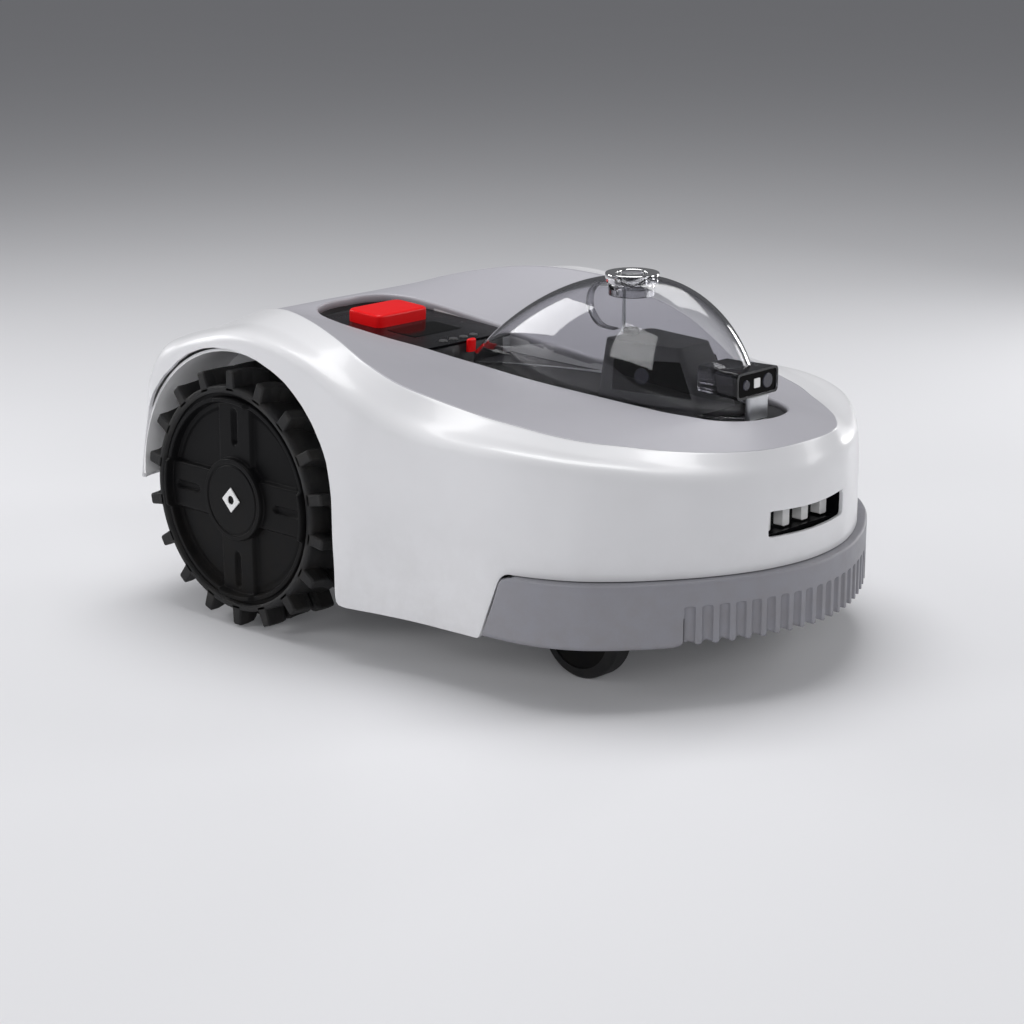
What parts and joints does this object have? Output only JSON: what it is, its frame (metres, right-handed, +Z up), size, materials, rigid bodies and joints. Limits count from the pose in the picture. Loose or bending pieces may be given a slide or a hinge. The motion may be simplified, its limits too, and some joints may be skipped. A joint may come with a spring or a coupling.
{
  "type": "robotic lawn mower",
  "caption": "Low robotic lawn mower with a white hood, grey deck, clear sensor dome, rear drive wheels, front casters and a disc of pivoting blades.",
  "frame": {"origin": "on the ground under the middle of the whole machine", "axes": "+Z up, front of the machine towards -Y, X = 0 is its plane of symmetry"},
  "size_m": [0.453, 0.6089, 0.317],
  "materials": {
    "hood_white": "satin gloss",
    "deck_grey": "satin",
    "bumper_grey": "satin",
    "chassis_black": "textured",
    "tray_white": "satin",
    "panel_black": "gloss",
    "screen_black": "gloss",
    "stop_red": "gloss",
    "dome_clear": "clear smoked",
    "cap_clear": "clear",
    "tower_grey": "textured",
    "window_black": "gloss",
    "lens_glass": "polished",
    "lamp_white": "satin",
    "tyre_rubber": "matte",
    "wheel_black": "satin",
    "emblem_white": "satin",
    "steel": "brushed",
    "gear_alu": "cast",
    "seal_rubber": "matte",
    "battery_case": "satin",
    "board_green": "lacquered",
    "contact_brass": "polished",
    "key_grey": "satin",
    "bronze_bush": "sintered",
    "disc_black": "painted"
  },
  "bodies": {
    "body": {"antenna_rod": "steel", "arch_liner_left": "tray_white", "arch_liner_right": "tray_white", "battery_pack": "battery_case", "camera_case": "cap_clear", "camera_face": "window_black", "camera_lamp": "lamp_white", "camera_lens_left": "lens_glass", "camera_lens_right": "lens_glass", "camera_post": "steel", "caster_bushes": "bronze_bush", "charge_contacts": "contact_brass", "chassis_tub": "chassis_black", "circuit_board": "board_green", "cockpit_tray": "tray_white", "control_panel": "panel_black", "deck_panel": "deck_grey", "display_glass": "screen_black", "dome": "dome_clear", "dome_cap": "cap_clear", "dome_seal": "seal_rubber", "drive_gearbox_left": "gear_alu", "drive_gearbox_right": "gear_alu", "hood_shell": "hood_white", "rain_sensor": "stop_red", "range_sensors": "lamp_white", "sensor_tower": "tower_grey", "side_camera_left": "lens_glass", "side_camera_right": "lens_glass", "slot_liner": "panel_black", "stop_switch": "chassis_black", "tower_window_left": "window_black", "tower_window_right": "window_black"},
    "bumper": {"bumper_shell": "bumper_grey"},
    "stop_button": {"stop_button": "stop_red"},
    "cutting_unit": {"cutter_motor": "gear_alu"},
    "disc": {"cutting_disc": "disc_black", "blade_screws": "steel"},
    "key_1": {"key_1": "key_grey"},
    "key_2": {"key_2": "key_grey"},
    "key_3": {"key_3": "key_grey"},
    "key_4": {"key_4": "key_grey"},
    "blade_1": {"blade_1": "steel"},
    "blade_2": {"blade_2": "steel"},
    "blade_3": {"blade_3": "steel"},
    "wheel_left": {"tyre_left": "tyre_rubber", "wheel_rim_left": "wheel_black", "wheel_cap_left": "wheel_black", "wheel_emblem_left": "emblem_white"},
    "caster_fork_left": {"caster_arm_left": "steel"},
    "caster_wheel_left": {"caster_hub_left": "wheel_black", "caster_tyre_left": "tyre_rubber"},
    "wheel_right": {"tyre_right": "tyre_rubber", "wheel_rim_right": "wheel_black", "wheel_cap_right": "wheel_black", "wheel_emblem_right": "emblem_white"},
    "caster_fork_right": {"caster_arm_right": "steel"},
    "caster_wheel_right": {"caster_hub_right": "wheel_black", "caster_tyre_right": "tyre_rubber"}
  },
  "joints": [
    {"name": "bumper_push", "type": "slide", "parent": "body", "child": "bumper", "axis": [0, 1, 0], "range_m": [0, 0.003], "stiffness_N_per_m": 1500, "springref_m": -0.002},
    {"name": "stop_press", "type": "slide", "parent": "body", "child": "stop_button", "axis": [0, 0.0506, -0.9987], "range_m": [0, 0.004], "stiffness_N_per_m": 2500, "springref_m": -0.002},
    {"name": "key_1_press", "type": "slide", "parent": "body", "child": "key_1", "axis": [0, 0.0506, -0.9987], "range_m": [0, 0.0008], "stiffness_N_per_m": 1500, "springref_m": -0.001},
    {"name": "key_2_press", "type": "slide", "parent": "body", "child": "key_2", "axis": [0, 0.0506, -0.9987], "range_m": [0, 0.0008], "stiffness_N_per_m": 1500, "springref_m": -0.001},
    {"name": "key_3_press", "type": "slide", "parent": "body", "child": "key_3", "axis": [0, 0.0506, -0.9987], "range_m": [0, 0.0008], "stiffness_N_per_m": 1500, "springref_m": -0.001},
    {"name": "key_4_press", "type": "slide", "parent": "body", "child": "key_4", "axis": [0, 0.0506, -0.9987], "range_m": [0, 0.0008], "stiffness_N_per_m": 1500, "springref_m": -0.001},
    {"name": "wheel_left_spin", "type": "hinge", "parent": "body", "child": "wheel_left", "pos_m": [-0.193, 0.1585, 0.115], "axis": [1, 0, 0], "continuous": true},
    {"name": "caster_left_swivel", "type": "hinge", "parent": "body", "child": "caster_fork_left", "pos_m": [-0.112, -0.178, 0.1], "axis": [0, 0, 1], "continuous": true},
    {"name": "caster_left_spin", "type": "hinge", "parent": "caster_fork_left", "child": "caster_wheel_left", "pos_m": [-0.112, -0.152, 0.041], "axis": [1, 0, 0], "continuous": true},
    {"name": "wheel_right_spin", "type": "hinge", "parent": "body", "child": "wheel_right", "pos_m": [0.193, 0.1585, 0.115], "axis": [1, 0, 0], "continuous": true},
    {"name": "caster_right_swivel", "type": "hinge", "parent": "body", "child": "caster_fork_right", "pos_m": [0.112, -0.178, 0.1], "axis": [0, 0, 1], "continuous": true},
    {"name": "caster_right_spin", "type": "hinge", "parent": "caster_fork_right", "child": "caster_wheel_right", "pos_m": [0.09427, -0.15898, 0.041], "axis": [0.7314, 0.682, 0], "continuous": true},
    {"name": "cut_height", "type": "slide", "parent": "body", "child": "cutting_unit", "axis": [0, 0, 1], "range_m": [0, 0.02]},
    {"name": "disc_spin", "type": "hinge", "parent": "cutting_unit", "child": "disc", "pos_m": [0, -0.008, 0.04], "axis": [0, 0, 1], "continuous": true},
    {"name": "blade_1_pivot", "type": "hinge", "parent": "disc", "child": "blade_1", "pos_m": [0, 0.084, 0.039], "axis": [0, 0, 1], "continuous": true},
    {"name": "blade_2_pivot", "type": "hinge", "parent": "disc", "child": "blade_2", "pos_m": [-0.07967, -0.054, 0.039], "axis": [0, 0, 1], "continuous": true},
    {"name": "blade_3_pivot", "type": "hinge", "parent": "disc", "child": "blade_3", "pos_m": [0.07967, -0.054, 0.039], "axis": [0, 0, 1], "continuous": true}
  ]
}
